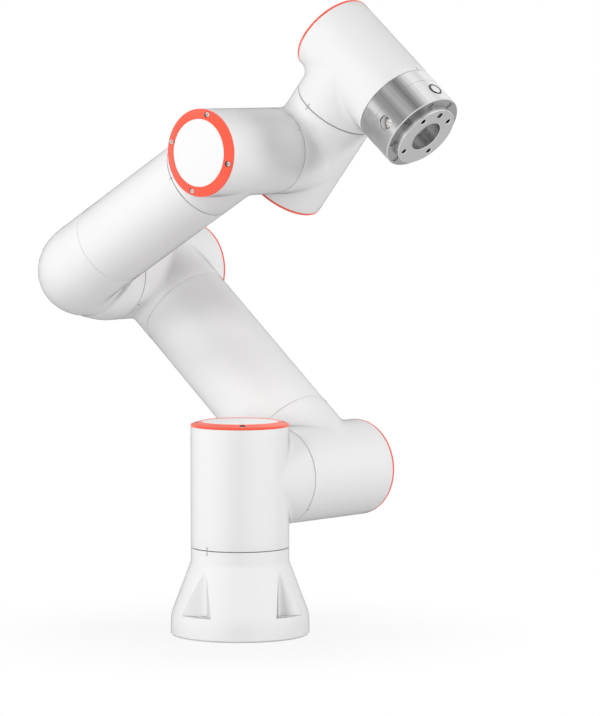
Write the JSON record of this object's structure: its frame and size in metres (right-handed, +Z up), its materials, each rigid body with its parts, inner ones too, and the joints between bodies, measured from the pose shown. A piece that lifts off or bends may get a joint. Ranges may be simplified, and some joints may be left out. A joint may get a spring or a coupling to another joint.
{
  "type": "collaborative robot arm",
  "caption": "White jointed robot arm with a round base, tubular links, orange-red joint covers and a metal tool flange.",
  "frame": {"origin": "centre of the base's underside, on the first joint's axis, in the plane the base stands on", "axes": "+Z up along the first joint's axis; +Y from that axis towards the upper arm, along the second joint's axis; +X completes the set, and the tool flange points to +X and downwards at rest"},
  "size_m": [0.4198, 0.2351, 0.5838],
  "materials": {
    "white_casting": "smooth glossy white coat on cast aluminium",
    "white_tube": "smooth glossy white coat on aluminium tube",
    "cover_ring_plastic": "glossy orange-red moulding",
    "cover_plastic": "satin white moulding",
    "screw_steel": "plain turned steel",
    "drive_steel": "ground steel and wound copper inside the housings",
    "rotor_steel": "ground steel",
    "flange_aluminium": "fine turned finish",
    "plate_aluminium": "plain sheet",
    "button_plastic": "satin grey cap",
    "bezel_plastic": "black moulding",
    "insert_plastic": "light grey moulding",
    "socket_metal": "nickel-plated thread",
    "pin_brass": "gold-plated contacts"
  },
  "bodies": {
    "base": {"base_casting": "white_casting", "base_plate": "plate_aluminium", "base_plate_screws": "screw_steel", "base_socket_shell": "socket_metal", "base_socket_insert": "insert_plastic", "base_socket_pins": "pin_brass", "joint_1_output_flange": "flange_aluminium"},
    "shoulder": {"shoulder_housing": "white_casting", "joint_2_output_flange": "flange_aluminium", "joint_1_drive": "drive_steel", "joint_1_cover_ring": "cover_ring_plastic", "joint_1_cover": "cover_plastic", "joint_1_cover_screws": "screw_steel"},
    "upper_arm": {"upper_arm_lower_housing": "white_casting", "upper_arm_tube": "white_tube", "upper_arm_upper_housing": "white_casting", "joint_2_drive": "drive_steel", "joint_2_cover_ring": "cover_ring_plastic", "joint_2_cover": "cover_plastic", "joint_2_cover_screws": "screw_steel", "joint_3_drive": "drive_steel", "joint_3_cover_ring": "cover_ring_plastic", "joint_3_cover": "cover_plastic", "joint_3_cover_screws": "screw_steel"},
    "forearm": {"elbow_casting": "white_casting", "forearm_tube": "white_tube", "forearm_wrist_housing": "white_casting", "joint_3_output_flange": "flange_aluminium", "joint_4_drive": "drive_steel", "joint_4_cover_ring": "cover_ring_plastic", "joint_4_cover": "cover_plastic", "joint_4_cover_screws": "screw_steel"},
    "wrist_1": {"wrist_1_housing": "white_casting", "joint_4_output_flange": "flange_aluminium", "joint_5_drive": "drive_steel", "joint_5_cover_ring": "cover_ring_plastic", "joint_5_cover": "cover_plastic", "joint_5_cover_screws": "screw_steel"},
    "wrist_2": {"wrist_2_housing": "white_casting", "joint_5_output_flange": "flange_aluminium", "joint_6_drive": "drive_steel", "joint_6_cover_ring": "cover_ring_plastic", "joint_6_cover": "cover_plastic", "joint_6_cover_screws": "screw_steel"},
    "tool_end": {"joint_6_output_flange": "flange_aluminium", "tool_rear_ring": "flange_aluminium", "tool_body": "flange_aluminium", "tool_body_screws": "screw_steel", "tool_flange": "flange_aluminium", "connector_shell": "socket_metal", "connector_insert": "insert_plastic", "connector_pins": "pin_brass", "button_bezel": "bezel_plastic"},
    "button": {"tool_button": "button_plastic"},
    "rotor_1": {"joint_1_rotor": "rotor_steel"},
    "rotor_2": {"joint_2_rotor": "rotor_steel"},
    "rotor_3": {"joint_3_rotor": "rotor_steel"},
    "rotor_4": {"joint_4_rotor": "rotor_steel"},
    "rotor_5": {"joint_5_rotor": "rotor_steel"},
    "rotor_6": {"joint_6_rotor": "rotor_steel"}
  },
  "joints": [
    {"name": "shoulder_turn", "type": "hinge", "parent": "base", "child": "shoulder", "pos_m": [0, 0, 0.084], "axis": [0, 0, 1], "range_deg": [-175, 175]},
    {"name": "shoulder_swing", "type": "hinge", "parent": "shoulder", "child": "upper_arm", "pos_m": [0, 0.055, 0.142], "axis": [0, -1, 0], "range_deg": [-209.7, 110.3]},
    {"name": "elbow_swing", "type": "hinge", "parent": "upper_arm", "child": "forearm", "pos_m": [-0.21431, 0.054, 0.32375], "axis": [0, 1, 0], "range_deg": [-259.95, 40.05]},
    {"name": "wrist_1_swing", "type": "hinge", "parent": "forearm", "child": "wrist_1", "pos_m": [-0.00334, 0.0495, 0.44433], "axis": [0, -1, 0], "range_deg": [-145.15, 104.85]},
    {"name": "wrist_2_turn", "type": "hinge", "parent": "wrist_1", "child": "wrist_2", "pos_m": [0.0308, 0.0993, 0.48487], "axis": [-0.6441, 0, -0.7649], "range_deg": [-265, 85]},
    {"name": "tool_turn", "type": "hinge", "parent": "wrist_2", "child": "tool_end", "pos_m": [0.10342, 0.0993, 0.48882], "axis": [0.7649, 0, -0.6441], "range_deg": [-175, 175]},
    {"name": "button_press", "type": "slide", "parent": "tool_end", "child": "button", "axis": [-0.6441, 0, -0.7649], "range_m": [0, 0.0008], "stiffness_N_per_m": 1500, "springref_m": -0.001},
    {"name": "rotor_1_spin", "type": "hinge", "parent": "shoulder", "child": "rotor_1", "pos_m": [0, 0, 0.084], "axis": [0, 0, 1], "range_deg": [-17500, 17500]},
    {"name": "rotor_2_spin", "type": "hinge", "parent": "upper_arm", "child": "rotor_2", "pos_m": [0, 0.055, 0.142], "axis": [0, -1, 0], "range_deg": [-20970, 11030]},
    {"name": "rotor_3_spin", "type": "hinge", "parent": "upper_arm", "child": "rotor_3", "pos_m": [-0.21431, 0.054, 0.32375], "axis": [0, 1, 0], "range_deg": [-4005, 25995]},
    {"name": "rotor_4_spin", "type": "hinge", "parent": "forearm", "child": "rotor_4", "pos_m": [-0.00334, 0.0495, 0.44433], "axis": [0, -1, 0], "range_deg": [-10485, 14515]},
    {"name": "rotor_5_spin", "type": "hinge", "parent": "wrist_1", "child": "rotor_5", "pos_m": [0.0308, 0.0993, 0.48487], "axis": [-0.6441, 0, -0.7649], "range_deg": [-8500, 26500]},
    {"name": "rotor_6_spin", "type": "hinge", "parent": "wrist_2", "child": "rotor_6", "pos_m": [0.10342, 0.0993, 0.48882], "axis": [0.7649, 0, -0.6441], "range_deg": [-17500, 17500]}
  ],
  "couplings": [
    {"joint": "rotor_1_spin", "follows": "shoulder_turn", "ratio": 100},
    {"joint": "rotor_2_spin", "follows": "shoulder_swing", "ratio": 100},
    {"joint": "rotor_3_spin", "follows": "elbow_swing", "ratio": -100},
    {"joint": "rotor_4_spin", "follows": "wrist_1_swing", "ratio": -100},
    {"joint": "rotor_5_spin", "follows": "wrist_2_turn", "ratio": -100},
    {"joint": "rotor_6_spin", "follows": "tool_turn", "ratio": -100}
  ]
}
